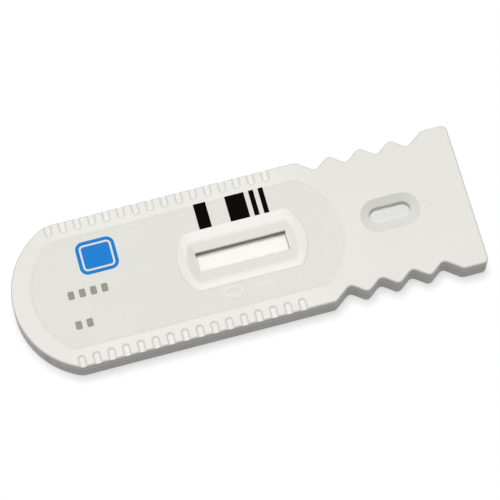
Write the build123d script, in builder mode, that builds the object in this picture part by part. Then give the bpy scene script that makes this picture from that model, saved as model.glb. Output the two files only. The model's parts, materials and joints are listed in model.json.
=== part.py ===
from build123d import *
from math import sqrt
import os

# Lateral flow cassette: two moulded plastic shells closed around a test strip.
# Millimetres. +X runs along the length towards the waved grip, +Z is up,
# and the origin is the middle of the underside.

# Test strip, laid along X: a plastic card that carries a membrane and three pads
strip_length = 60.0
strip_width = 4.0
card_thickness = 0.3
membrane_length = 25.0
membrane_thickness = 0.2
conjugate_length = 7.0
conjugate_thickness = 0.3
sample_thickness = 0.35
absorbent_thickness = 0.6
pad_overlap = 2.0  # each pad lies this far on its neighbour
pad_ramp = 0.6  # length over which a pad climbs onto its neighbour

# Plan of both shells
width = 26.2
round_end_margin = 14.0  # strip end to the tip of the round end
square_end_margin = 6.0  # strip end to the square end
round_end_depth = 8.7  # the end arc stands out this far past the straight sides
round_corner_radius = 2.0
square_corner_radius = 1.0

# Waved grip on both sides of the square end
grip_valleys = 4
grip_pitch = 5.49
grip_depth = 2.3  # side line to the sharp bottom of a valley
grip_peak_drop = 0.2  # side line to the sharp top of a peak
grip_flank = 3.0  # run of the first and the last flank
grip_end_land = 4.5  # straight stretch left beside the square end
grip_radius = 1.0

# Section of the shells
floor_thickness = 1.2
lower_wall_height = 1.3  # floor to the parting face
bed_rise = 1.3  # floor to the underside of the strip
pad_headroom = 0.3  # air over the tallest pad
top_wall = 1.0  # upper shell below the sunk panel
wall = 1.3
top_edge_chamfer = 0.2
bottom_edge_chamfer = 0.35
seam_chamfer = 0.12

# Sunk panel in the upper face
panel_depth = 0.1
panel_slope = 0.5  # width of the sloping border
panel_width = 20.5
panel_bow = 5.1  # how far its ends bow out
panel_corner_radius = 1.5
panel_round_rim = 3.25  # rim left at the tip of the round end
panel_square_rim = 21.9  # panel tip to the square end

# Reading window: a raised barrel-shaped frame that slopes in to a slot
window_to_well = 26.2
frame_length = 22.8
frame_width = 10.7
frame_bow = 2.1
frame_corner_radius = 0.8
frame_rise = 0.1
frame_slope = 0.2  # width of its outer slope
frame_land = 1.4  # flat crest between the two slopes
window_mouth_bow = 1.1
window_mouth_shift = -0.2  # across Y from the middle of the frame
window_slope_depth = 0.45
slot_length = 15.9
slot_width = 3.5

# Sample well: an obround funnel
well_to_sample_end = 7.7  # well centre to the strip end
well_length = 10.5
well_width = 6.1
well_slope = 1.6  # plan width of the funnel's slope
well_slope_depth = 0.85
throat_shift = 0.3  # across Y from the middle of the well
skirt_wall = 0.7  # round the throat, down to the sample pad

# Finger notches along the straight edges
notch_count = 16
notch_width = 1.45
notch_reach = 2.15  # how far a notch reaches in from the edge
notch_corner = 0.42  # cut off each inner corner of a notch
notch_depth = 0.26
notch_slope = 0.35  # plan width of its leaning walls
notch_start_margin = 0.3  # past the end of the round-end arc
notch_end_margin = 5.65  # before the first flank of the grip

# Small relief marks: a chevron beside the well, a ring and a bar beside the window
mark_depth = 0.06
chevron_gap = 0.45
chevron_length = 1.9
chevron_width = 1.8
chevron_line = 0.6  # measured along X
ring_length = 3.5
ring_width = 2.4
ring_line = 0.6
bar_length = 2.4
bar_width = 0.9
mark_offset = 1.5  # frame foot to the middle of the ring and the bar
ring_shift = -3.3  # along X from the middle of the window
bar_shift = 1.9

# Pins in the upper shell and sockets in the lower shell
body_posts = 2  # on each side of the body
post_radius = 1.5
post_inset = 3.2  # post centre to the inner face of the side wall
post_start_margin = 7.3  # past the end of the round-end arc
post_end_margin = 2.4  # last body pair to the step of the hollow
post_square_inset = 5.5  # last pair to the square end
pin_radius = 0.8
pin_length = 1.0
pin_clearance = 0.05
pin_end_clearance = 0.2
socket_radius = 1.8

# Locating lip of the lower shell
lip_thickness = 0.5
lip_height = 0.5
lip_clearance = 0.1

# Strip bed in the lower shell and pressure bars in the upper shell
strip_clearance = 0.15
rail_width = 0.8
bed_ribs = 9
bed_rib_width = 0.8
pressure_bar_width = 0.8

# Heights, from the underside up
bed = floor_thickness + bed_rise
card_top = bed + card_thickness
membrane_top = card_top + membrane_thickness
sample_top = card_top + sample_thickness
ceiling = membrane_top + absorbent_thickness + pad_headroom
panel_floor = ceiling + top_wall
thickness = panel_floor + panel_depth
parting = floor_thickness + lower_wall_height
frame_crest = panel_floor + frame_rise
slot_edge = frame_crest - window_slope_depth
throat_edge = thickness - well_slope_depth

# Stations along X
length = strip_length + round_end_margin + square_end_margin
square_end = length / 2
round_end = -length / 2
strip_end = square_end - square_end_margin
strip_start = strip_end - strip_length
strip_middle = (strip_start + strip_end) / 2
well_middle = strip_end - well_to_sample_end
window_middle = well_middle - window_to_well
membrane_start = window_middle - membrane_length / 2
membrane_end = window_middle + membrane_length / 2
conjugate_end = membrane_end - pad_overlap + conjugate_length
arc_end = round_end + round_end_depth
last_valley = square_end - grip_end_land - grip_flank
first_valley = last_valley - grip_pitch * (grip_valleys - 1)
side_end = first_valley - grip_flank
grip_corner = square_end - grip_end_land
panel_start = round_end + panel_round_rim
panel_end = square_end - panel_square_rim

# Across Y
side = width / 2
valley_side = side - grip_depth
peak_side = side - grip_peak_drop
round_end_radius = (side**2 + round_end_depth**2) / (2 * round_end_depth)
round_end_centre = round_end + round_end_radius
mark_side = -(frame_width / 2 + mark_offset)


def inner_outline(margin):
    """Plan that lies margin inside the shells: arc end, straight sides, narrower behind the grip."""
    half = side - margin
    grip_half = valley_side - margin
    arc_radius = round_end_radius - margin
    arc_stop = round_end_centre - sqrt(arc_radius**2 - half**2)
    step = side_end - margin
    far_end = square_end - margin
    with BuildSketch() as hollow:
        with BuildLine():
            ThreePointArc((arc_stop, -half), (round_end + margin, 0), (arc_stop, half))
            flank = Polyline((arc_stop, half), (step, half), (step, grip_half), (far_end, grip_half))
            mirror(flank, about=Plane.XZ)
            Line((far_end, grip_half), (far_end, -grip_half))
        make_face()
    return hollow.sketch


def barrel(full_length, full_width, bow):
    """Plan with straight long sides and ends that bow out."""
    half_length = full_length / 2
    half_width = full_width / 2
    straight = half_length - bow
    with BuildSketch() as shape:
        with BuildLine():
            long_side = Line((-straight, half_width), (straight, half_width))
            ThreePointArc((straight, half_width), (half_length, 0), (straight, -half_width))
            mirror(long_side, about=Plane.XZ)
            ThreePointArc((-straight, -half_width), (-half_length, 0), (-straight, half_width))
        make_face()
    return shape.sketch


def draped_pad(card_end, step, resting_end, rise, pad_thickness):
    """Side view of a pad that lies on the card and ramps up onto the end of its neighbour."""
    ramp_foot = step + pad_ramp if card_end > step else step - pad_ramp
    underside = [
        (card_end, card_top),
        (ramp_foot, card_top),
        (step, card_top + rise),
        (resting_end, card_top + rise),
    ]
    upper_side = [(x, z + pad_thickness) for x, z in reversed(underside)]
    with BuildSketch() as profile:
        with BuildLine():
            Polyline(*underside, *upper_side, close=True)
        make_face()
    return profile.sketch


# Outline of both shells: end arc, straight sides, waved grip, square end
with BuildSketch() as outline:
    with BuildLine():
        ThreePointArc((arc_end, -side), (round_end, 0), (arc_end, side))
        wave = [(arc_end, side), (side_end, side), (first_valley, valley_side)]
        for valley in range(1, grip_valleys):
            valley_x = first_valley + grip_pitch * valley
            wave += [(valley_x - grip_pitch / 2, peak_side), (valley_x, valley_side)]
        wave += [(grip_corner, side), (square_end, side)]
        flank_line = Polyline(*wave)
        mirror(flank_line, about=Plane.XZ)
        Line((square_end, side), (square_end, -side))
    make_face()
    fillet(outline.vertices().group_by(Axis.X)[0], round_corner_radius)
    fillet(outline.vertices().group_by(Axis.X)[-1], square_corner_radius)
    wave_span = (side_end - grip_radius, grip_corner + grip_radius)
    fillet(outline.vertices().filter_by_position(Axis.X, *wave_span), grip_radius)

# Places of the pins and their sockets: rows beside the body, one pair in the grip
first_post = arc_end + post_start_margin
last_post = side_end - wall - post_end_margin
post_spacing = (last_post - first_post) / (body_posts - 1)
body_post_side = side - wall - post_inset
grip_post_side = valley_side - wall - post_inset
post_places = [(square_end - post_square_inset, grip_post_side)]
post_places += [(first_post + post_spacing * row, body_post_side) for row in range(body_posts)]
post_places += [(x, -y) for x, y in post_places]

notch_row_length = side_end - notch_end_margin - arc_end - notch_start_margin
notch_pitch = notch_row_length / (notch_count - 1)
notch_middle = arc_end + notch_start_margin + notch_row_length / 2

# One finger notch and its mirror image past the edge, as the shape cut away
with BuildPart() as notch:
    with BuildSketch(Plane.XY.offset(thickness - notch_depth)) as notch_plan:
        Rectangle(notch_width, 2 * notch_reach)
        chamfer(notch_plan.vertices(), notch_corner)
    extrude(amount=2 * notch_depth)
    notch_base = notch.faces().sort_by(Axis.Z)[0]
    chamfer(notch_base.edges(), notch_slope, notch_depth, reference=notch_base)

# Lower shell: tray with the strip bed, the sockets and the locating lip
with BuildPart() as lower_shell:
    with BuildSketch():
        add(outline.sketch)
    extrude(amount=parting)
    chamfer(lower_shell.faces().sort_by(Axis.Z)[0].edges(), bottom_edge_chamfer)
    chamfer(lower_shell.faces().sort_by(Axis.Z)[-1].edges(), seam_chamfer)
    with BuildSketch(Plane.XY.offset(floor_thickness)):
        add(inner_outline(wall))
    extrude(amount=lower_wall_height, mode=Mode.SUBTRACT)
    with BuildSketch(Plane.XY.offset(parting)):
        add(inner_outline(wall - lip_thickness))
        add(inner_outline(wall), mode=Mode.SUBTRACT)
    extrude(amount=lip_height)
    # Rails that hold the strip sideways and endways
    rail_margin = 2 * (strip_clearance + rail_width)
    with BuildSketch(Plane.XY.offset(floor_thickness)):
        with Locations((strip_middle, 0)):
            Rectangle(strip_length + rail_margin, strip_width + rail_margin)
            Rectangle(
                strip_length + 2 * strip_clearance, strip_width + 2 * strip_clearance, mode=Mode.SUBTRACT
            )
    extrude(amount=membrane_top - floor_thickness)
    # Ribs that carry the strip
    bed_rib_spacing = (strip_length - bed_rib_width) / (bed_ribs - 1)
    with BuildSketch(Plane.XY.offset(floor_thickness)):
        with Locations((strip_middle, 0)):
            with GridLocations(bed_rib_spacing, strip_width, bed_ribs, 1):
                Rectangle(bed_rib_width, strip_width + 2 * strip_clearance)
    extrude(amount=bed_rise)
    # Sockets
    with BuildSketch(Plane.XY.offset(floor_thickness)):
        with Locations(*post_places):
            Circle(socket_radius)
    extrude(amount=lower_wall_height)
    with BuildSketch(Plane.XY.offset(parting)):
        with Locations(*post_places):
            Circle(pin_radius + pin_clearance)
    extrude(amount=-(pin_length + pin_end_clearance), mode=Mode.SUBTRACT)

# Upper shell: cover with the sunk panel, the reading window, the sample well and the pins
with BuildPart() as upper_shell:
    with BuildSketch(Plane.XY.offset(parting)):
        add(outline.sketch)
    extrude(amount=thickness - parting)
    chamfer(upper_shell.faces().sort_by(Axis.Z)[-1].edges(), top_edge_chamfer)
    chamfer(upper_shell.faces().sort_by(Axis.Z)[0].edges(), seam_chamfer)
    # Hollow, and the rebate that takes the lower shell's lip
    with BuildSketch(Plane.XY.offset(parting)):
        add(inner_outline(wall))
    extrude(amount=ceiling - parting, mode=Mode.SUBTRACT)
    with BuildSketch(Plane.XY.offset(parting)):
        add(inner_outline(wall - lip_thickness - lip_clearance))
    extrude(amount=lip_height + lip_clearance, mode=Mode.SUBTRACT)
    # Sunk panel with a sloping border
    panel_length = panel_end - panel_start
    panel_middle = (panel_start + panel_end) / 2
    with BuildSketch(Plane.XY.offset(thickness)) as panel_top:
        with Locations((panel_middle, 0)):
            add(barrel(panel_length, panel_width, panel_bow))
        fillet(panel_top.vertices(), panel_corner_radius)
    with BuildSketch(Plane.XY.offset(panel_floor)) as panel_base:
        with Locations((panel_middle, 0)):
            add(barrel(panel_length - 2 * panel_slope, panel_width - 2 * panel_slope, panel_bow))
        fillet(panel_base.vertices(), panel_corner_radius)
    loft(ruled=True, mode=Mode.SUBTRACT)
    # Window frame, raised from the panel
    crest_length = frame_length - 2 * frame_slope
    crest_width = frame_width - 2 * frame_slope
    with BuildSketch(Plane.XY.offset(panel_floor)) as frame_foot:
        with Locations((window_middle, 0)):
            add(barrel(frame_length, frame_width, frame_bow))
        fillet(frame_foot.vertices(), frame_corner_radius)
    with BuildSketch(Plane.XY.offset(frame_crest)) as frame_top:
        with Locations((window_middle, 0)):
            add(barrel(crest_length, crest_width, frame_bow))
        fillet(frame_top.vertices(), frame_corner_radius)
    loft(ruled=True)
    # Skirt under the well, pressure bars over the pad joints
    throat_length = well_length - 2 * well_slope
    throat_width = well_width - 2 * well_slope
    with BuildSketch(Plane.XY.offset(ceiling)):
        with Locations((well_middle, throat_shift)):
            SlotOverall(throat_length + 2 * skirt_wall, throat_width + 2 * skirt_wall)
    extrude(amount=-(ceiling - sample_top))
    with BuildSketch(Plane.XY.offset(ceiling)):
        with Locations((membrane_start + pad_overlap / 2, 0)):
            Rectangle(pressure_bar_width, strip_width)
    extrude(amount=-pad_headroom)
    with BuildSketch(Plane.XY.offset(ceiling)):
        with Locations((membrane_end - pad_overlap / 2, 0)):
            Rectangle(pressure_bar_width, strip_width)
    extrude(amount=-(ceiling - membrane_top - conjugate_thickness))
    # Window mouth that slopes in to the slot
    with BuildSketch(Plane.XY.offset(frame_crest)):
        with Locations((window_middle, window_mouth_shift)):
            add(barrel(crest_length - 2 * frame_land, crest_width - 2 * frame_land, window_mouth_bow))
    with BuildSketch(Plane.XY.offset(slot_edge)):
        with Locations((window_middle, 0)):
            Rectangle(slot_length, slot_width)
    loft(ruled=True, mode=Mode.SUBTRACT)
    with BuildSketch(Plane.XY.offset(slot_edge)):
        with Locations((window_middle, 0)):
            Rectangle(slot_length, slot_width)
    extrude(amount=-(slot_edge - ceiling), mode=Mode.SUBTRACT)
    # Funnel of the sample well and its throat
    with BuildSketch(Plane.XY.offset(thickness)):
        with Locations((well_middle, 0)):
            SlotOverall(well_length, well_width)
    with BuildSketch(Plane.XY.offset(throat_edge)):
        with Locations((well_middle, throat_shift)):
            SlotOverall(throat_length, throat_width)
    loft(ruled=True, mode=Mode.SUBTRACT)
    with BuildSketch(Plane.XY.offset(throat_edge)):
        with Locations((well_middle, throat_shift)):
            SlotOverall(throat_length, throat_width)
    extrude(amount=-(throat_edge - card_top), mode=Mode.SUBTRACT)
    # Chevron that points into the well, sunk; ring and bar beside the window, raised
    chevron_tip = well_middle + well_length / 2 + chevron_gap
    chevron_back = chevron_length - chevron_line
    with BuildSketch(Plane((chevron_tip, throat_shift, thickness))):
        with BuildLine():
            Polyline(
                (0, 0),
                (chevron_back, chevron_width / 2),
                (chevron_length, chevron_width / 2),
                (chevron_line, 0),
                (chevron_length, -chevron_width / 2),
                (chevron_back, -chevron_width / 2),
                close=True,
            )
        make_face()
    extrude(amount=-mark_depth, mode=Mode.SUBTRACT)
    with BuildSketch(Plane.XY.offset(panel_floor)):
        with Locations((window_middle + ring_shift, mark_side)):
            Ellipse(ring_length / 2, ring_width / 2)
            Ellipse(ring_length / 2 - ring_line, ring_width / 2 - ring_line, mode=Mode.SUBTRACT)
        with Locations((window_middle + bar_shift, mark_side)):
            Rectangle(bar_length, bar_width)
    extrude(amount=mark_depth)
    # Pins on posts that reach down to the sockets
    with BuildSketch(Plane.XY.offset(parting)):
        with Locations(*post_places):
            Circle(post_radius)
    extrude(amount=ceiling - parting)
    with BuildSketch(Plane.XY.offset(parting)):
        with Locations(*post_places):
            Circle(pin_radius)
    extrude(amount=-pin_length)
    # Finger notches, shallow, with leaning walls, open at the edge
    with Locations((notch_middle, 0)):
        with GridLocations(notch_pitch, width, notch_count, 2):
            add(notch.part, mode=Mode.SUBTRACT)

# Strip, from the card up
with BuildPart() as backing_card:
    with BuildSketch(Plane.XY.offset(bed)):
        with Locations((strip_middle, 0)):
            Rectangle(strip_length, strip_width)
    extrude(amount=card_thickness)

with BuildPart() as membrane:
    with BuildSketch(Plane.XY.offset(card_top)):
        with Locations((window_middle, 0)):
            Rectangle(membrane_length, strip_width)
    extrude(amount=membrane_thickness)

with BuildPart() as absorbent_pad:
    with BuildSketch(Plane.XZ):
        add(
            draped_pad(
                strip_start,
                membrane_start,
                membrane_start + pad_overlap,
                membrane_thickness,
                absorbent_thickness,
            )
        )
    extrude(amount=strip_width / 2, both=True)

with BuildPart() as conjugate_pad:
    with BuildSketch(Plane.XZ):
        add(
            draped_pad(
                conjugate_end,
                membrane_end,
                membrane_end - pad_overlap,
                membrane_thickness,
                conjugate_thickness,
            )
        )
    extrude(amount=strip_width / 2, both=True)

with BuildPart() as sample_pad:
    with BuildSketch(Plane.XZ):
        add(
            draped_pad(
                strip_end,
                conjugate_end,
                conjugate_end - pad_overlap,
                conjugate_thickness,
                sample_thickness,
            )
        )
    extrude(amount=strip_width / 2, both=True)

pieces = {
    "lower_shell": lower_shell,
    "upper_shell": upper_shell,
    "backing_card": backing_card,
    "membrane": membrane,
    "absorbent_pad": absorbent_pad,
    "conjugate_pad": conjugate_pad,
    "sample_pad": sample_pad,
}
os.makedirs("parts", exist_ok=True)
for label, piece in pieces.items():
    piece.part.label = label
    export_step(piece.part, f"parts/{label}.step")
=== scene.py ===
import json
import math
from typing import NamedTuple

import bmesh
import bpy
from bpy.props import FloatProperty, FloatVectorProperty, IntProperty, IntVectorProperty, PointerProperty
from bpy.types import Operator, Panel, PropertyGroup
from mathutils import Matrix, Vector

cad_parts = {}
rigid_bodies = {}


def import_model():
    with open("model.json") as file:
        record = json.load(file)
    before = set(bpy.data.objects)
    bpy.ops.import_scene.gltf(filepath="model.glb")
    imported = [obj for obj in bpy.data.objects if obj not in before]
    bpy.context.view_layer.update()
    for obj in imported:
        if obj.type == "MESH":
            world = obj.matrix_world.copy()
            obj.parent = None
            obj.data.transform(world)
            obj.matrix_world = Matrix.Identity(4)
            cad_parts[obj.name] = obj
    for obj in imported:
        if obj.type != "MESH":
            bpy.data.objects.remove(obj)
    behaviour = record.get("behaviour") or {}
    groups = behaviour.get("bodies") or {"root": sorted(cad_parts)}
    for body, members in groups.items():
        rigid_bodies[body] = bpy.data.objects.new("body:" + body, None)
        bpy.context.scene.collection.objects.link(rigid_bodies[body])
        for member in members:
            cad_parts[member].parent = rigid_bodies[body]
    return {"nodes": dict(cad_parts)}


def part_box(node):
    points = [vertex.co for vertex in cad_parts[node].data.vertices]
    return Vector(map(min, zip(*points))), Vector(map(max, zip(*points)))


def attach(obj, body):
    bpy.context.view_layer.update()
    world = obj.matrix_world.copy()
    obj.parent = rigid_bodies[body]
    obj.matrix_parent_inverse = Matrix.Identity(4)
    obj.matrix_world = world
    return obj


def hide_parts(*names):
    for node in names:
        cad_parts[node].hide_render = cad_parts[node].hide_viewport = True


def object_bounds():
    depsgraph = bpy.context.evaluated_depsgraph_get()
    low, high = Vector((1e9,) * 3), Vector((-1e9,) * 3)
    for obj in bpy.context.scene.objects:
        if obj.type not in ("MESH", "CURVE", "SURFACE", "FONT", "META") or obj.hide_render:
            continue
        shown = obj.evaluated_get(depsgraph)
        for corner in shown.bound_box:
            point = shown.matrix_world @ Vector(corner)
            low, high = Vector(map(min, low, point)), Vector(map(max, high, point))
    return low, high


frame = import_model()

bl_info = {
    "name": "Lateral flow cassette",
    "version": (1, 0, 0),
    "blender": (4, 5, 0),
    "location": "View3D > Sidebar > Cassette",
    "description": "Moulded shells, test strip and print of a lateral flow cassette",
    "category": "Object",
}

# The scene is in metres, and sizes are written in millimetres
MM = 0.001
BODY = "root"

# Places read from the frame
cad_low, cad_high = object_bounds()
cover_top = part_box("upper_shell")[1].z
membrane_low, membrane_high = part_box("membrane")
window_middle = (membrane_low.x + membrane_high.x) / 2

# The sunk panel of the cover
PANEL_DEPTH = 0.1 * MM
panel_floor = cover_top - PANEL_DEPTH


class Border(NamedTuple):
    """A border on the cover, as the solid has it, and how far its near and its far side move.

    They move because the photo shows these sides a little off those of the solid.
    """

    middle: tuple
    half_length: float
    half_width: float
    shifts: tuple = (0, 0)


PANEL = Border((-9.325 * MM, 0), 27.425 * MM, 10.25 * MM, (0.4 * MM, -0.15 * MM))
WINDOW_FRAME = Border((window_middle, 0), 11.4 * MM, 5.35 * MM, (-0.05 * MM, 0.3 * MM))
WINDOW_MOUTH = Border((window_middle, -0.2 * MM), 9.8 * MM, 3.75 * MM, (-0.27 * MM, 0.16 * MM))
WELL = Border((26.3 * MM, 0), 5.25 * MM, 3.05 * MM)

# Heights by which the texture of the panel has ended and the lighter colour of the window's frame is full.
# The lighter colour climbs low on the frame's slopes, where it is painted light over their shade.
rim_level = panel_floor + 0.6 * PANEL_DEPTH
frame_level = panel_floor + 0.3 * PANEL_DEPTH

# Shares of the full lighter colour. These are painted light that eases the shade of the openings' slopes
# and the notched sides, and that fades towards the frame's ends as painted shade. Also the two distances
# from a middle along the cover between which each share fades.
FRAME_END_PAINTED_LIGHT = 0.2
FRAME_SIDES = (8 * MM, 10 * MM)
OPENING_PAINTED_LIGHT = 0.25
NOTCHED_PAINTED_LIGHT = 0.35
NOTCHED_MIDDLE = -10 * MM
NOTCHED_SIDES = (18 * MM, 26 * MM)

# Sizes in the materials
TONE_DRIFT = 12 * MM
PORE_CLOUD = 0.4 * MM
STRAND_TURNS = (math.radians(35), math.radians(-40))
STRAND_SPACINGS = 3  # length of a strand in spacings of the lumps
STRAND_STRETCH = 6  # how many times longer than wide a strand is
STREAK_SPACING = 0.3 * MM
STREAK_STRETCH = 20  # how many times longer than wide a roller streak is
INK_CLOUD = 0.5 * MM

# Mesh work
MERGE_DISTANCE = 0.001 * MM
FLAT_ANGLE = math.radians(0.5)  # faces that meet flatter than this become one
BLUNT_ANGLE = math.radians(6)  # level edges are rounded from this angle on
SHARP_ANGLE = math.radians(25)  # all other edges are rounded from this angle on
SHORTEST_UPRIGHT = 0.1 * MM  # upright edges shorter than this stay sharp
CUT_EDGE_SEGMENTS = 2
CORNER_SEGMENTS = 8
BAR_STEPS = 80  # along a code bar, so that it follows the borders that it crosses

# Stage
FLOOR_GAP = 0.02 * MM  # so that the floor and the underside don't share a plane
SENSOR_WIDTH = 36

# Sockets of a Mix node that mixes colours
MIX_A = 6
MIX_B = 7
MIX_RESULT = 2


def linear(hex_colour):
    """sRGB hex colour as the linear red, green and blue that a shader takes."""
    channels = [int(hex_colour[i : i + 2], 16) / 255 for i in (1, 3, 5)]
    return tuple(c / 12.92 if c <= 0.04045 else ((c + 0.055) / 1.055) ** 2.4 for c in channels)


class ShellSettings(PropertyGroup):
    """The two moulded shells."""

    rim_colour: FloatVectorProperty(
        name="Rim colour",
        description="Polystyrene of the rim, the grip and the lower shell",
        subtype="COLOR",
        default=linear("#D5D4CE"),
    )
    panel_colour: FloatVectorProperty(
        name="Panel colour",
        description="Polystyrene of the sunk panel, which has a deeper texture",
        subtype="COLOR",
        default=linear("#DBDAD3"),
    )
    # Lighter colour of the long sides of the window's frame, also used as painted light on the frame's
    # slopes and ends, on the slopes of the window and the well, and on the notched sides
    frame_tone_and_painted_light_colour: FloatVectorProperty(
        name="Frame colour",
        description="Polystyrene of the long sides of the window's frame, which are smoother",
        subtype="COLOR",
        default=linear("#E3E1DB"),
    )
    edge_width: FloatProperty(
        name="Edge width",
        description="Width of the rounding on moulded edges",
        unit="LENGTH",
        default=0.03 * MM,
    )
    edge_segments: IntProperty(
        name="Edge segments",
        description="Faces across a rounded edge",
        default=3,
    )
    grain: FloatProperty(
        name="Grain",
        description="Spacing of the moulded texture",
        unit="LENGTH",
        default=0.15 * MM,
    )


class StripSettings(PropertyGroup):
    """The test strip between the shells."""

    membrane_colour: FloatVectorProperty(
        name="Membrane colour",
        description="Nitrocellulose in the reading window",
        subtype="COLOR",
        default=linear("#F8F7F0"),
    )
    fleece_colour: FloatVectorProperty(
        name="Fleece colour",
        description="Glass fibre of the pads",
        subtype="COLOR",
        default=linear("#DCDFDC"),
    )
    card_colour: FloatVectorProperty(
        name="Card colour",
        description="Vinyl of the backing card",
        subtype="COLOR",
        default=linear("#EEEEEC"),
    )
    cut_edge: FloatProperty(
        name="Cut edge",
        description="Rounding on the cut edges of the membrane",
        unit="LENGTH",
        default=0.02 * MM,
    )
    fibre_spacing: FloatProperty(
        name="Fibre spacing",
        description="Spacing of the lumps in the pads",
        unit="LENGTH",
        default=0.3 * MM,
    )
    fibre_depth: FloatProperty(
        name="Fibre depth",
        description="Depth of the lumps in the pads",
        unit="LENGTH",
        default=0.05 * MM,
    )
    voxel: FloatProperty(
        name="Voxel",
        description="Mesh size of the pads",
        unit="LENGTH",
        default=0.1 * MM,
    )


class PrintSettings(PropertyGroup):
    """Ink on the sunk panel."""

    black: FloatVectorProperty(
        name="Black",
        description="Ink of the code bars",
        subtype="COLOR",
        default=linear("#060504"),
    )
    blue: FloatVectorProperty(
        name="Blue",
        description="Ink of the colour patch",
        subtype="COLOR",
        default=linear("#247CCA"),
    )
    grey: FloatVectorProperty(
        name="Grey",
        description="Ink of the plain blocks",
        subtype="COLOR",
        default=linear("#96948F"),
    )
    thickness: FloatProperty(
        name="Ink thickness",
        description="Height of the ink over the plastic",
        unit="LENGTH",
        default=0.02 * MM,
    )
    bar_starts: FloatVectorProperty(
        name="Bar starts",
        description="Left edges of the code bars, from the middle of the window",
        size=4,
        unit="LENGTH",
        default=(-6.055 * MM, -0.52 * MM, 3.71 * MM, 5.4 * MM),
    )
    bar_widths: FloatVectorProperty(
        name="Bar widths",
        description="Widths of the code bars",
        size=4,
        unit="LENGTH",
        default=(2.175 * MM, 3.41 * MM, 0.87 * MM, 0.88 * MM),
    )
    bar_span: FloatVectorProperty(
        name="Bar span",
        description="Near and far end of the code bars across the cover",
        size=2,
        unit="LENGTH",
        default=(5.48 * MM, 10.18 * MM),
    )
    patch_centre: FloatVectorProperty(
        name="Patch centre",
        description="Middle of the colour patch",
        size=2,
        unit="LENGTH",
        default=(-24.0 * MM, 5.6 * MM),
    )
    patch_size: FloatVectorProperty(
        name="Patch size",
        description="Length and width of the colour patch",
        size=2,
        unit="LENGTH",
        default=(6.8 * MM, 6.0 * MM),
    )
    patch_corner: FloatProperty(
        name="Patch corner",
        description="Corner radius of the colour patch",
        unit="LENGTH",
        default=1.4 * MM,
    )
    patch_border: FloatProperty(
        name="Patch border",
        description="Width of the patch outside its bare line",
        unit="LENGTH",
        default=0.6 * MM,
    )
    patch_line: FloatProperty(
        name="Patch line",
        description="Width of the bare line in the patch",
        unit="LENGTH",
        default=0.35 * MM,
    )
    block_size: FloatVectorProperty(
        name="Block size",
        description="Length and width of a grey block",
        size=2,
        unit="LENGTH",
        default=(1.1 * MM, 1.5 * MM),
    )
    block_pitch: FloatProperty(
        name="Block pitch",
        description="Spacing of the grey blocks in a row",
        unit="LENGTH",
        default=1.95 * MM,
    )
    row_start: FloatProperty(
        name="Row start",
        description="Middle of the first block of each row along the cover",
        unit="LENGTH",
        default=-30.0 * MM,
    )
    row_levels: FloatVectorProperty(
        name="Row levels",
        description="Places of the rows across the cover",
        size=2,
        unit="LENGTH",
        default=(-0.3 * MM, -5.75 * MM),
    )
    row_counts: IntVectorProperty(
        name="Row counts",
        description="Blocks in each row",
        size=2,
        default=(4, 2),
    )
    block_corner: FloatProperty(
        name="Block corner",
        description="Corner radius of a grey block",
        unit="LENGTH",
        default=0.25 * MM,
    )


class StageSettings(PropertyGroup):
    """Paper floor, light and camera."""

    azimuth: FloatProperty(
        name="Azimuth",
        description="Turn of the camera round the cassette",
        subtype="ANGLE",
        default=math.radians(-15.285),
    )
    elevation: FloatProperty(
        name="Elevation",
        description="Height of the camera over the horizon",
        subtype="ANGLE",
        default=math.radians(69.857),
    )
    distance: FloatProperty(
        name="Distance",
        description="Camera to its target",
        unit="LENGTH",
        default=478.95 * MM,
    )
    target: FloatVectorProperty(
        name="Target",
        description="Point in the middle of the picture",
        subtype="XYZ",
        unit="LENGTH",
        default=(1.815 * MM, 1.434 * MM, 0.0),
    )
    lens: FloatProperty(
        name="Lens",
        description="Focal length on a 36 mm sensor",
        unit="CAMERA",
        default=200.57,
    )
    key_direction: FloatVectorProperty(
        name="Key direction",
        description="From the cassette towards the soft key light",
        subtype="DIRECTION",
        default=(-0.04, 0.17, 0.985),
    )
    key_angle: FloatProperty(
        name="Key angle",
        description="Width of the key light in the sky",
        subtype="ANGLE",
        default=math.radians(26),
    )
    key_strength: FloatProperty(
        name="Key strength",
        description="Irradiance of the key light",
        default=2.5,
    )
    fill_strength: FloatProperty(
        name="Fill strength",
        description="Even light from all round",
        default=0.25,
    )
    paper_colour: FloatVectorProperty(
        name="Paper colour",
        description="Studio paper as the camera sees it",
        subtype="COLOR",
        default=linear("#FEFEFE"),
    )
    bounce_colour: FloatVectorProperty(
        name="Bounce colour",
        description="Studio paper as it lights the cassette",
        subtype="COLOR",
        default=linear("#9A9A98"),
    )
    shadow: FloatProperty(
        name="Shadow",
        description="Share of the cassette's shadow that shows on the paper",
        subtype="FACTOR",
        default=0.4,
    )
    floor_size: FloatProperty(
        name="Floor size",
        description="Side of the floor",
        unit="LENGTH",
        default=6.0,
    )


def add_node(tree, kind, inputs=None, **settings):
    """Adds a shader node with its settings, and with a value or a link for each socket in inputs."""
    node = tree.nodes.new(kind)
    for name, value in settings.items():
        setattr(node, name, value)
    for socket, value in (inputs or {}).items():
        if isinstance(value, bpy.types.NodeSocket):
            tree.links.new(value, node.inputs[socket])
        else:
            node.inputs[socket].default_value = value
    return node


def start_material(name):
    """A new material, its node tree and its surface socket."""
    material = bpy.data.materials.new(name)
    material.use_nodes = True
    material.node_tree.nodes.clear()
    output = add_node(material.node_tree, "ShaderNodeOutputMaterial")
    return material, material.node_tree, output.inputs["Surface"]


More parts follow.
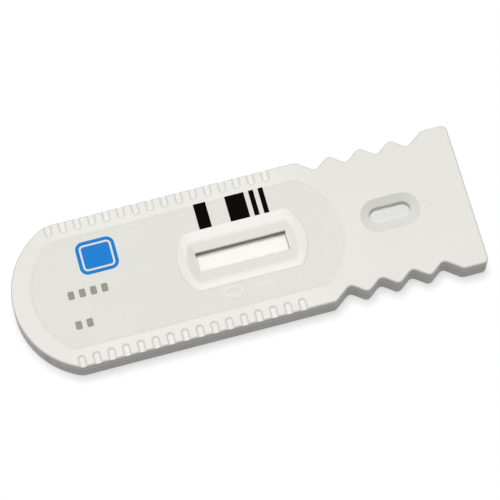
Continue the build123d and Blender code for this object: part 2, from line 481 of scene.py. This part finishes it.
def in_border(tree, axes, border):
    """1 between the sides of a border, where they have moved to, and 0 outside them."""
    near, far = border.shifts
    along = {0: axes["X"], 1: border.middle[0], 2: border.half_length}
    across = {
        0: axes["Y"],
        1: border.middle[1] + (near + far) / 2,
        2: border.half_width + (far - near) / 2,
    }
    in_length = add_node(tree, "ShaderNodeMath", along, operation="COMPARE").outputs[0]
    in_width = add_node(tree, "ShaderNodeMath", across, operation="COMPARE").outputs[0]
    both = {0: in_length, 1: in_width}
    return add_node(tree, "ShaderNodeMath", both, operation="MULTIPLY").outputs[0]


def around(tree, axes, middle, reach, least):
    """1 round a middle along the cassette, falling to least between the two distances in reach."""
    offset = add_node(tree, "ShaderNodeMath", {0: axes["X"], 1: middle}, operation="SUBTRACT").outputs[0]
    distance = add_node(tree, "ShaderNodeMath", {0: offset}, operation="ABSOLUTE").outputs[0]
    fall = {"Value": distance, "From Min": reach[0], "From Max": reach[1], "To Min": 1, "To Max": least}
    return add_node(tree, "ShaderNodeMapRange", fall).outputs["Result"]


def panel_texture_and_painted_light(tree, place):
    """How much of the panel's texture, and how much of the lighter colour, a place on the shells has.

    The long sides of the window's frame have the full lighter colour, which reaches down their slopes as
    painted light over the slopes' shade. It fades towards the frame's ends as painted shade. The slopes of
    the window and the well, and the notched sides, have a share of it, painted light that eases their
    shade.
    """
    axes = add_node(tree, "ShaderNodeSeparateXYZ", {"Vector": place}).outputs
    in_panel = in_border(tree, axes, PANEL)
    in_frame = in_border(tree, axes, WINDOW_FRAME)
    in_mouth = in_border(tree, axes, WINDOW_MOUTH)
    in_well = in_border(tree, axes, WELL)
    to_rim = {"Value": axes["Z"], "From Min": panel_floor, "From Max": rim_level}
    on_rim = add_node(tree, "ShaderNodeMapRange", to_rim).outputs["Result"]
    to_frame = {"Value": axes["Z"], "From Min": panel_floor, "From Max": frame_level}
    on_frame = add_node(tree, "ShaderNodeMapRange", to_frame).outputs["Result"]

    sunk = add_node(tree, "ShaderNodeMath", {0: 1, 1: on_rim}, operation="SUBTRACT").outputs[0]
    floor = add_node(tree, "ShaderNodeMath", {0: in_panel, 1: in_mouth}, operation="SUBTRACT").outputs[0]
    texture = add_node(tree, "ShaderNodeMath", {0: floor, 1: sunk}, operation="MULTIPLY").outputs[0]

    # Painted light on the notched sides, against the shade of their notches
    outside = add_node(tree, "ShaderNodeMath", {0: 1, 1: in_panel}, operation="SUBTRACT").outputs[0]
    painted_light_beside = {0: outside, 1: NOTCHED_PAINTED_LIGHT}
    beside = add_node(tree, "ShaderNodeMath", painted_light_beside, operation="MULTIPLY").outputs[0]
    fading = {0: beside, 1: around(tree, axes, NOTCHED_MIDDLE, NOTCHED_SIDES, 0)}
    sides = add_node(tree, "ShaderNodeMath", fading, operation="MULTIPLY").outputs[0]
    # Painted light on the slopes of the well and the window's mouth, against their shade
    either = {0: in_well, 1: sunk, 2: in_mouth}
    openings = add_node(tree, "ShaderNodeMath", either, operation="MULTIPLY_ADD").outputs[0]
    parts = {0: openings, 1: OPENING_PAINTED_LIGHT, 2: sides}
    painted_light_share = add_node(tree, "ShaderNodeMath", parts, operation="MULTIPLY_ADD").outputs[0]
    # The frame's crest and the top of its slopes, fading towards its ends as painted shade
    crest = add_node(tree, "ShaderNodeMath", {0: in_frame, 1: on_frame}, operation="MULTIPLY").outputs[0]
    along_frame = around(tree, axes, window_middle, FRAME_SIDES, FRAME_END_PAINTED_LIGHT)
    whole = {0: crest, 1: along_frame, 2: painted_light_share}
    frame_tone_and_painted_light = add_node(tree, "ShaderNodeMath", whole, operation="MULTIPLY_ADD", use_clamp=True).outputs[0]
    return texture, frame_tone_and_painted_light


def moulded_polystyrene(settings):
    """Polystyrene from a spark-eroded mould: an even, slightly warm white with a soft sheen.

    Such a grain is about 0.05 mm, too fine to show here, so it is drawn at settings.grain.
    The texture of the sunk panel is deeper than the rim's, which makes it duller. Its pits take painted
    shade, darker than the rim's, which makes it greyer.
    The long sides of the window's frame are lighter. The same lighter colour is painted light on the
    frame's slopes and ends, on the slopes of the window and the well, and on the notched sides.
    """
    material, tree, surface = start_material("Moulded polystyrene")
    place = add_node(tree, "ShaderNodeTexCoord").outputs["Object"]
    texture, frame_tone_and_painted_light = panel_texture_and_painted_light(tree, place)

    textured = {0: texture, MIX_A: (*settings.rim_colour, 1), MIX_B: (*settings.panel_colour, 1)}
    plain = add_node(tree, "ShaderNodeMix", textured, data_type="RGBA").outputs[MIX_RESULT]
    # Mixes in the lighter colour: the long sides of the window's frame, and painted light on slopes and
    # notched sides
    lighter_mix = {0: frame_tone_and_painted_light, MIX_A: plain, MIX_B: (*settings.frame_tone_and_painted_light_colour, 1)}
    base = add_node(tree, "ShaderNodeMix", lighter_mix, data_type="RGBA").outputs[MIX_RESULT]
    broad = {"Vector": place, "Scale": 1 / TONE_DRIFT, "Detail": 2}
    drift = add_node(tree, "ShaderNodeTexNoise", broad).outputs["Fac"]
    spread = {"Value": drift, "From Min": 0.3, "From Max": 0.7, "To Min": 0.98, "To Max": 1}
    tone = add_node(tree, "ShaderNodeMapRange", spread).outputs["Result"]
    pits = {"Vector": place, "Scale": 1 / settings.grain, "Detail": 3, "Roughness": 0.6}
    grain = add_node(tree, "ShaderNodeTexNoise", pits).outputs["Fac"]
    # Painted shade in the pits of the grain, darker on the sunk panel than on the rim
    darkest_pit_shade = add_node(tree, "ShaderNodeMapRange", {"Value": texture, "To Min": 0.98, "To Max": 0.95})
    pit_shade_range = {"Value": grain, "From Min": 0.35, "From Max": 0.55, "To Min": darkest_pit_shade.outputs["Result"]}
    shade = add_node(tree, "ShaderNodeMapRange", pit_shade_range).outputs["Result"]
    drift_and_pit_shade = add_node(tree, "ShaderNodeMath", {0: tone, 1: shade}, operation="MULTIPLY").outputs[0]
    toned = {0: 1, MIX_A: base, MIX_B: drift_and_pit_shade}
    colour = add_node(tree, "ShaderNodeMix", toned, data_type="RGBA", blend_type="MULTIPLY")

    depth = add_node(tree, "ShaderNodeMapRange", {"Value": texture, "To Min": 0.3, "To Max": 0.8})
    height = {"Height": grain, "Distance": 0.03 * MM, "Strength": depth.outputs["Result"]}
    bump = add_node(tree, "ShaderNodeBump", height)
    sheen = add_node(tree, "ShaderNodeMapRange", {"Value": texture, "To Min": 0.5, "To Max": 0.65})
    finish = {
        "Base Color": colour.outputs[MIX_RESULT],
        "Roughness": sheen.outputs["Result"],
        "IOR": 1.59,
        "Normal": bump.outputs["Normal"],
    }
    shader = add_node(tree, "ShaderNodeBsdfPrincipled", finish)
    tree.links.new(shader.outputs["BSDF"], surface)
    return material


def nitrocellulose(settings):
    """Cast nitrocellulose membrane: a very white, chalky sheet with a faint cloud.

    Its pores are about 0.01 mm, too fine to show here, so only the cloud that they make is drawn.
    """
    material, tree, surface = start_material("Nitrocellulose")
    place = add_node(tree, "ShaderNodeTexCoord").outputs["Object"]
    cast = {"Vector": place, "Scale": 1 / PORE_CLOUD, "Detail": 4}
    cloud = add_node(tree, "ShaderNodeTexNoise", cast).outputs["Fac"]
    spread = {"Value": cloud, "From Min": 0.3, "From Max": 0.7, "To Min": 0.97, "To Max": 1}
    tone = add_node(tree, "ShaderNodeMapRange", spread)
    toned = {0: 1, MIX_A: (*settings.membrane_colour, 1), MIX_B: tone.outputs["Result"]}
    colour = add_node(tree, "ShaderNodeMix", toned, data_type="RGBA", blend_type="MULTIPLY")
    bump = add_node(tree, "ShaderNodeBump", {"Height": cloud, "Distance": 0.01 * MM, "Strength": 0.2})
    finish = {
        "Base Color": colour.outputs[MIX_RESULT],
        "Roughness": 0.85,
        "IOR": 1.5,
        "Specular IOR Level": 0.3,
        "Normal": bump.outputs["Normal"],
    }
    shader = add_node(tree, "ShaderNodeBsdfPrincipled", finish)
    tree.links.new(shader.outputs["BSDF"], surface)
    return material


def glass_fibre_fleece(settings):
    """Glass fibre fleece: dull white strands that cross at two angles, with painted shade in the gaps
    between them.

    A fibre is about 0.01 mm, too fine to show here, so strands are drawn from settings.fibre_spacing.
    """
    material, tree, surface = start_material("Glass fibre fleece")
    place = add_node(tree, "ShaderNodeTexCoord").outputs["Object"]
    strands = []
    for turn in STRAND_TURNS:
        laid = {"Vector": place, "Rotation": (0, 0, turn), "Scale": (1, STRAND_STRETCH, 1)}
        lay = add_node(tree, "ShaderNodeMapping", laid)
        length = STRAND_SPACINGS * settings.fibre_spacing
        drawn = {"Vector": lay.outputs["Vector"], "Scale": 1 / length, "Detail": 5}
        strands.append(add_node(tree, "ShaderNodeTexNoise", drawn).outputs["Fac"])
    crossed = {0: strands[0], 1: strands[1]}
    mat = add_node(tree, "ShaderNodeMath", crossed, operation="MAXIMUM").outputs[0]
    # Painted shade: darker where the strands' height is low, in the gaps between them
    spread = {"Value": mat, "From Min": 0.4, "From Max": 0.65, "To Min": 0.92, "To Max": 1}
    tone = add_node(tree, "ShaderNodeMapRange", spread)
    toned = {0: 1, MIX_A: (*settings.fleece_colour, 1), MIX_B: tone.outputs["Result"]}
    colour = add_node(tree, "ShaderNodeMix", toned, data_type="RGBA", blend_type="MULTIPLY")
    bump = add_node(tree, "ShaderNodeBump", {"Height": mat, "Distance": 0.04 * MM, "Strength": 0.5})
    finish = {
        "Base Color": colour.outputs[MIX_RESULT],
        "Roughness": 0.9,
        "Specular IOR Level": 0.25,
        "Normal": bump.outputs["Normal"],
    }
    shader = add_node(tree, "ShaderNodeBsdfPrincipled", finish)
    tree.links.new(shader.outputs["BSDF"], surface)
    return material


def vinyl_card(settings):
    """Calendered white vinyl: smooth and slightly glossy, with faint roller streaks along the strip."""
    material, tree, surface = start_material("White vinyl")
    place = add_node(tree, "ShaderNodeTexCoord").outputs["Object"]
    along = add_node(tree, "ShaderNodeMapping", {"Vector": place, "Scale": (1 / STREAK_STRETCH, 1, 1)})
    drawn = {"Vector": along.outputs["Vector"], "Scale": 1 / STREAK_SPACING, "Detail": 2}
    streaks = add_node(tree, "ShaderNodeTexNoise", drawn).outputs["Fac"]
    sheen = add_node(tree, "ShaderNodeMapRange", {"Value": streaks, "To Min": 0.25, "To Max": 0.4})
    finish = {
        "Base Color": (*settings.card_colour, 1),
        "Roughness": sheen.outputs["Result"],
        "IOR": 1.54,
    }
    shader = add_node(tree, "ShaderNodeBsdfPrincipled", finish)
    tree.links.new(shader.outputs["BSDF"], surface)
    return material


def pad_ink(name, colour):
    """Pad-printed ink: a thin dull film, a little thinner and lighter in small clouds."""
    material, tree, surface = start_material(name)
    place = add_node(tree, "ShaderNodeTexCoord").outputs["Object"]
    clouds = {"Vector": place, "Scale": 1 / INK_CLOUD, "Detail": 3}
    film = add_node(tree, "ShaderNodeTexNoise", clouds).outputs["Fac"]
    spread = {"Value": film, "From Min": 0.3, "From Max": 0.7, "To Min": 1, "To Max": 1.12}
    tone = add_node(tree, "ShaderNodeMapRange", spread)
    toned = {0: 1, MIX_A: (*colour, 1), MIX_B: tone.outputs["Result"]}
    mixed = add_node(tree, "ShaderNodeMix", toned, data_type="RGBA", blend_type="MULTIPLY")
    sheen = add_node(tree, "ShaderNodeMapRange", {"Value": film, "To Min": 0.6, "To Max": 0.8})
    finish = {
        "Base Color": mixed.outputs[MIX_RESULT],
        "Roughness": sheen.outputs["Result"],
        "IOR": 1.5,
        "Specular IOR Level": 0.02,
    }
    shader = add_node(tree, "ShaderNodeBsdfPrincipled", finish)
    tree.links.new(shader.outputs["BSDF"], surface)
    return material


def seen_directly(tree):
    """1 where the camera sees a surface itself, in a mirror or through glass, and 0 for other light."""
    path = add_node(tree, "ShaderNodeLightPath").outputs
    mirrored = {0: path["Is Camera Ray"], 1: path["Is Glossy Ray"]}
    either = add_node(tree, "ShaderNodeMath", mirrored, operation="MAXIMUM").outputs[0]
    through = {0: either, 1: path["Is Transmission Ray"]}
    return add_node(tree, "ShaderNodeMath", through, operation="MAXIMUM").outputs[0]


def studio_paper(settings):
    """White studio paper, matte, which sends only part of its light back onto the cassette.

    The camera sees the paper as lit from behind too, so that only settings.shadow of a shadow shows.
    """
    material, tree, surface = start_material("Studio paper")
    seen = seen_directly(tree)
    shown = {0: seen, MIX_A: (*settings.bounce_colour, 1), MIX_B: (*settings.paper_colour, 1)}
    colour = add_node(tree, "ShaderNodeMix", shown, data_type="RGBA")
    paper = add_node(tree, "ShaderNodeBsdfDiffuse", {"Color": colour.outputs[MIX_RESULT]})
    glow = add_node(tree, "ShaderNodeEmission", {"Color": (1, 1, 1, 1), "Strength": 1})
    share = add_node(tree, "ShaderNodeMath", {0: seen, 1: 1 - settings.shadow}, operation="MULTIPLY")
    layers = {0: share.outputs[0], 1: paper.outputs[0], 2: glow.outputs[0]}
    mixed = add_node(tree, "ShaderNodeMixShader", layers)
    tree.links.new(mixed.outputs[0], surface)
    return material


def activate(piece):
    """Selects the piece alone and makes it active."""
    bpy.ops.object.select_all(action="DESELECT")
    piece.select_set(True)
    bpy.context.view_layer.objects.active = piece


def apply_modifier(piece, kind, **settings):
    """Adds a modifier with its settings and applies it."""
    activate(piece)
    modifier = piece.modifiers.new(kind.title(), kind)
    for name, value in settings.items():
        setattr(modifier, name, value)
    bpy.ops.object.modifier_apply(modifier=modifier.name)


def merged_copy(node, piece_name):
    """A copy of a solid's mesh, free of the frame, with its triangles merged into flat faces."""
    activate(frame["nodes"][node])
    bpy.ops.object.duplicate()
    piece = bpy.context.active_object
    bpy.ops.object.parent_clear(type="CLEAR")
    for key in list(piece.keys()):
        del piece[key]
    piece.name = piece_name
    piece.data.name = piece_name
    bpy.ops.mesh.customdata_custom_splitnormals_clear()
    bpy.ops.object.shade_smooth()
    bpy.ops.object.mode_set(mode="EDIT")
    bpy.ops.mesh.select_all(action="SELECT")
    bpy.ops.mesh.remove_doubles(threshold=MERGE_DISTANCE)
    bpy.ops.mesh.dissolve_limited(angle_limit=FLAT_ANGLE)
    bpy.ops.object.mode_set(mode="OBJECT")
    return piece


def inside(place, border):
    """Whether a place lies on a border of the solid, or inside it."""
    along = abs(place.x - border.middle[0])
    across = abs(place.y - border.middle[1])
    return max(along - border.half_length, across - border.half_width) <= MERGE_DISTANCE


def move_sides(cover, border, on_border):
    """Moves the near and the far side of a border across the cover, as its shifts say.

    on_border picks the faces or corners of the mesh that move.
    """
    activate(cover)
    bpy.ops.object.mode_set(mode="EDIT")
    bpy.ops.mesh.select_all(action="DESELECT")
    mesh = bmesh.from_edit_mesh(cover.data)
    for element in on_border(mesh):
        element.select_set(True)
    bmesh.update_edit_mesh(cover.data)
    near, far = border.shifts
    widen = 1 + (far - near) / (2 * border.half_width)
    fixed = border.middle[1] + (near + far) / 2 / (1 - widen)
    bpy.ops.transform.resize(value=(1, widen, 1), center_override=(0, fixed, 0))
    bpy.ops.object.mode_set(mode="OBJECT")


def panel_slopes(mesh):
    """The faces that climb from the floor of the panel to the top of the cover."""
    slopes = []
    for face in mesh.faces:
        heights = [vertex.co.z for vertex in face.verts]
        from_floor = abs(min(heights) - panel_floor) < MERGE_DISTANCE
        to_top = abs(max(heights) - cover_top) < MERGE_DISTANCE
        if from_floor and to_top:
            slopes.append(face)
    return slopes


def outer_slopes(mesh):
    """The slopes round the panel."""
    return [face for face in panel_slopes(mesh) if not inside(face.calc_center_median(), WINDOW_FRAME)]


def frame_slopes(mesh):
    """The slopes round the window's frame."""
    return [face for face in panel_slopes(mesh) if inside(face.calc_center_median(), WINDOW_FRAME)]


def mouth_corners(mesh):
    """The corners of the window's mouth. The slot that it slopes to stays in its place."""
    top = [vertex for vertex in mesh.verts if abs(vertex.co.z - cover_top) < MERGE_DISTANCE]
    return [vertex for vertex in top if inside(vertex.co, WINDOW_MOUTH)]


def round_edges(piece, width, segments):
    """Rounds the sharp edges of a piece, and the blunt ones that lie level, and keeps flat faces flat.

    The facets of a round wall meet at blunt edges too, but those don't lie level and stay smooth.
    The short upright corners of the relief marks stay sharp, because the roundings above and below
    them meet there. What the roundings leave without length or area is merged.
    """
    mesh = bmesh.new()
    mesh.from_mesh(piece.data)
    weight = mesh.edges.layers.float.new("bevel_weight_edge")
    for edge in mesh.edges:
        span = edge.verts[1].co - edge.verts[0].co
        limit = BLUNT_ANGLE if abs(span.z) < MERGE_DISTANCE else SHARP_ANGLE
        short_upright = span.length < SHORTEST_UPRIGHT and span.xy.length < MERGE_DISTANCE
        edge[weight] = edge.calc_face_angle() > limit and not short_upright
    mesh.to_mesh(piece.data)
    mesh.free()
    apply_modifier(piece, "BEVEL", limit_method="WEIGHT", width=width, segments=segments)
    bpy.ops.object.mode_set(mode="EDIT")
    bpy.ops.mesh.select_all(action="SELECT")
    bpy.ops.mesh.remove_doubles(threshold=MERGE_DISTANCE)
    bpy.ops.mesh.dissolve_degenerate(threshold=MERGE_DISTANCE)
    bpy.ops.object.mode_set(mode="OBJECT")
    apply_modifier(piece, "WEIGHTED_NORMAL", mode="FACE_AREA", weight=100)


def require_closed(piece):
    """Stops the script if a piece is empty or its mesh isn't closed."""
    mesh = bmesh.new()
    mesh.from_mesh(piece.data)
    open_edges = sum(len(edge.link_faces) != 2 for edge in mesh.edges)
    faces = len(mesh.faces)
    mesh.free()
    if not faces or open_edges:
        raise RuntimeError(f"{piece.name} has {faces} faces and {open_edges} open edges")


def hand_over(piece, material, node=None):
    """Gives a finished piece its material and its body, and hides the node that it stands for."""
    require_closed(piece)
    piece.data.materials.clear()
    piece.data.materials.append(material)
    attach(piece, BODY)
    if node:
        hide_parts(node)


def ink_field(piece_name, centre, size, corner, thickness):
    """A flat field of ink with round corners, one face just under the panel's floor, left in edit mode."""
    bpy.ops.object.select_all(action="DESELECT")
    bpy.ops.mesh.primitive_plane_add(size=1, location=(*centre, panel_floor - thickness))
    piece = bpy.context.active_object
    piece.name = piece_name
    piece.data.name = piece_name
    piece.scale = (*size, 1)
    bpy.ops.object.transform_apply(location=True, rotation=True, scale=True)
    bpy.ops.object.mode_set(mode="EDIT")
    bpy.ops.mesh.select_all(action="SELECT")
    bpy.ops.mesh.bevel(offset=corner, segments=CORNER_SEGMENTS, affect="VERTICES")
    return piece


def raise_field(thickness):
    """Pulls the faces of an ink field up through the floor of the panel and leaves edit mode."""
    bpy.ops.mesh.select_all(action="SELECT")
    bpy.ops.mesh.extrude_region_move(TRANSFORM_OT_translate={"value": (0, 0, 2 * thickness)})
    bpy.ops.mesh.select_all(action="SELECT")
    bpy.ops.mesh.normals_make_consistent(inside=False)
    bpy.ops.object.mode_set(mode="OBJECT")


def add_floor(settings):
    """Lays the studio paper under the cassette."""
    bpy.ops.object.select_all(action="DESELECT")
    bpy.ops.mesh.primitive_plane_add(size=settings.floor_size, location=(0, 0, cad_low.z - FLOOR_GAP))
    floor = bpy.context.active_object
    floor.name = "floor"
    floor.data.materials.append(studio_paper(settings))


def add_light(settings):
    """Hangs a wide key light, with an even fill from all round and a white backdrop for the camera."""
    bpy.ops.object.light_add(type="SUN")
    key = bpy.context.active_object
    key.name = "key_light"
    key.data.energy = settings.key_strength
    key.data.angle = settings.key_angle
    key.rotation_euler = Vector(settings.key_direction).to_track_quat("Z", "Y").to_euler()

    world = bpy.data.worlds.new("Studio")
    world.use_nodes = True
    bpy.context.scene.world = world
    tree = world.node_tree
    tree.nodes.clear()
    white = (1, 1, 1, 1)
    fill = add_node(tree, "ShaderNodeBackground", {"Color": white, "Strength": settings.fill_strength})
    backdrop = add_node(tree, "ShaderNodeBackground", {"Color": white, "Strength": 1})
    lights = {0: seen_directly(tree), 1: fill.outputs[0], 2: backdrop.outputs[0]}
    sky = add_node(tree, "ShaderNodeMixShader", lights)
    add_node(tree, "ShaderNodeOutputWorld", {"Surface": sky.outputs[0]})


def add_camera(settings):
    """Puts the camera at the photo's viewing angle."""
    turn, height = settings.azimuth, settings.elevation
    aside = math.sin(turn) * math.cos(height)
    ahead = -math.cos(turn) * math.cos(height)
    back = Vector((aside, ahead, math.sin(height)))
    bpy.ops.object.camera_add(location=Vector(settings.target) + back * settings.distance)
    camera = bpy.context.active_object
    camera.rotation_euler = (-back).to_track_quat("-Z", "Y").to_euler()
    camera.data.sensor_width = SENSOR_WIDTH
    camera.data.lens = settings.lens
    bpy.context.scene.camera = camera


class CASSETTE_OT_shells(Operator):
    """Mould the cover and the tray, with rounded edges"""

    bl_idname = "cassette.shells"
    bl_label = "Shells"

    def execute(self, context):
        settings = context.scene.cassette_shells
        polystyrene = moulded_polystyrene(settings)
        cover = merged_copy("upper_shell", "cover")
        move_sides(cover, PANEL, outer_slopes)
        move_sides(cover, WINDOW_FRAME, frame_slopes)
        move_sides(cover, WINDOW_MOUTH, mouth_corners)
        round_edges(cover, settings.edge_width, settings.edge_segments)
        hand_over(cover, polystyrene, "upper_shell")
        tray = merged_copy("lower_shell", "tray")
        round_edges(tray, settings.edge_width, settings.edge_segments)
        hand_over(tray, polystyrene, "lower_shell")
        return {"FINISHED"}


class CASSETTE_OT_strip(Operator):
    """Lay the test strip: the membrane, the three fibre pads and the card under them"""

    bl_idname = "cassette.strip"
    bl_label = "Test strip"

    def execute(self, context):
        settings = context.scene.cassette_strip
        sheet = merged_copy("membrane", "membrane_sheet")
        round_edges(sheet, settings.cut_edge, CUT_EDGE_SEGMENTS)
        hand_over(sheet, nitrocellulose(settings), "membrane")
        fleece = glass_fibre_fleece(settings)
        lumps = bpy.data.textures.new("Fibre lumps", "CLOUDS")
        lumps.noise_scale = settings.fibre_spacing
        for node in ("sample_pad", "conjugate_pad", "absorbent_pad"):
            pad = merged_copy(node, f"{node}_fleece")
            apply_modifier(pad, "REMESH", mode="VOXEL", voxel_size=settings.voxel, use_smooth_shade=True)
            apply_modifier(
                pad,
                "DISPLACE",
                texture=lumps,
                texture_coords="LOCAL",
                strength=settings.fibre_depth,
                mid_level=1,
            )
            hand_over(pad, fleece, node)
        card = frame["nodes"]["backing_card"]
        card.data.materials.clear()
        card.data.materials.append(vinyl_card(settings))
        return {"FINISHED"}


class CASSETTE_OT_code_bars(Operator):
    """Print the code bars across the panel, from the window's frame up to the rim"""

    bl_idname = "cassette.code_bars"
    bl_label = "Code bars"

    def execute(self, context):
        settings = context.scene.cassette_print
        ink = pad_ink("Black pad ink", settings.black)
        near, far = settings.bar_span
        over_cover = cover_top + PANEL_DEPTH
        for number, (start, width) in enumerate(zip(settings.bar_starts, settings.bar_widths), 1):
            bpy.ops.object.select_all(action="DESELECT")
            bpy.ops.mesh.primitive_grid_add(
                x_subdivisions=1,
                y_subdivisions=BAR_STEPS,
                size=1,
                location=(window_middle + start + width / 2, (near + far) / 2, over_cover),
            )
            bar = context.active_object
            bar.name = f"code_bar_{number}"
            bar.scale = (width, far - near, 1)
            bpy.ops.object.transform_apply(location=True, rotation=True, scale=True)
            apply_modifier(
                bar,
                "SHRINKWRAP",
                target=bpy.data.objects["cover"],
                wrap_method="PROJECT",
                use_project_z=True,
                use_negative_direction=True,
                use_positive_direction=False,
                offset=settings.thickness / 2,
            )
            apply_modifier(bar, "SOLIDIFY", thickness=settings.thickness, offset=0)
            hand_over(bar, ink)
        return {"FINISHED"}


class CASSETTE_OT_colour_patch(Operator):
    """Print the blue colour patch with a bare line round its middle"""

    bl_idname = "cassette.colour_patch"
    bl_label = "Colour patch"

    def execute(self, context):
        settings = context.scene.cassette_print
        patch = ink_field(
            "colour_patch",
            settings.patch_centre,
            settings.patch_size,
            settings.patch_corner,
            settings.thickness,
        )
        bpy.ops.mesh.inset(thickness=settings.patch_border)
        bpy.ops.mesh.inset(thickness=settings.patch_line, use_select_inset=True)
        bpy.ops.mesh.delete(type="FACE")
        raise_field(settings.thickness)
        hand_over(patch, pad_ink("Blue pad ink", settings.blue))
        return {"FINISHED"}


class CASSETTE_OT_blocks(Operator):
    """Print two rows of plain grey blocks"""

    bl_idname = "cassette.blocks"
    bl_label = "Grey blocks"

    def execute(self, context):
        settings = context.scene.cassette_print
        ink = pad_ink("Grey pad ink", settings.grey)
        rows = zip(settings.row_levels, settings.row_counts)
        places = [
            (settings.row_start + settings.block_pitch * column, level)
            for level, count in rows
            for column in range(count)
        ]
        for number, place in enumerate(places, 1):
            block = ink_field(
                f"grey_block_{number}",
                place,
                settings.block_size,
                settings.block_corner,
                settings.thickness,
            )
            raise_field(settings.thickness)
            hand_over(block, ink)
        return {"FINISHED"}


class CASSETTE_OT_stage(Operator):
    """Set up the paper floor, the light and the camera"""

    bl_idname = "cassette.stage"
    bl_label = "Stage"

    def execute(self, context):
        settings = context.scene.cassette_stage
        add_floor(settings)
        add_light(settings)
        add_camera(settings)
        context.scene.view_settings.view_transform = "Standard"
        return {"FINISHED"}


SETTINGS = {
    "cassette_shells": ShellSettings,
    "cassette_strip": StripSettings,
    "cassette_print": PrintSettings,
    "cassette_stage": StageSettings,
}
OPERATORS = (
    CASSETTE_OT_shells,
    CASSETTE_OT_strip,
    CASSETTE_OT_code_bars,
    CASSETTE_OT_colour_patch,
    CASSETTE_OT_blocks,
    CASSETTE_OT_stage,
)


class CASSETTE_PT_sidebar(Panel):
    """Lists the cassette's settings and operators"""

    bl_idname = "CASSETTE_PT_sidebar"
    bl_label = "Lateral flow cassette"
    bl_space_type = "VIEW_3D"
    bl_region_type = "UI"
    bl_category = "Cassette"

    def draw(self, context):
        for operator in OPERATORS:
            self.layout.operator(operator.bl_idname)
        for name, group in SETTINGS.items():
            box = self.layout.box()
            for prop in group.__annotations__:
                box.prop(getattr(context.scene, name), prop)


CLASSES = (*SETTINGS.values(), *OPERATORS, CASSETTE_PT_sidebar)


def register():
    for cls in CLASSES:
        bpy.utils.register_class(cls)
    for name, group in SETTINGS.items():
        setattr(bpy.types.Scene, name, PointerProperty(type=group))


def unregister():
    for name in SETTINGS:
        delattr(bpy.types.Scene, name)
    for cls in reversed(CLASSES):
        bpy.utils.unregister_class(cls)


def main():
    register()
    bpy.ops.cassette.shells()
    bpy.ops.cassette.strip()
    bpy.ops.cassette.code_bars()
    bpy.ops.cassette.colour_patch()
    bpy.ops.cassette.blocks()
    bpy.ops.cassette.stage()


if __name__ == "__main__":
    main()
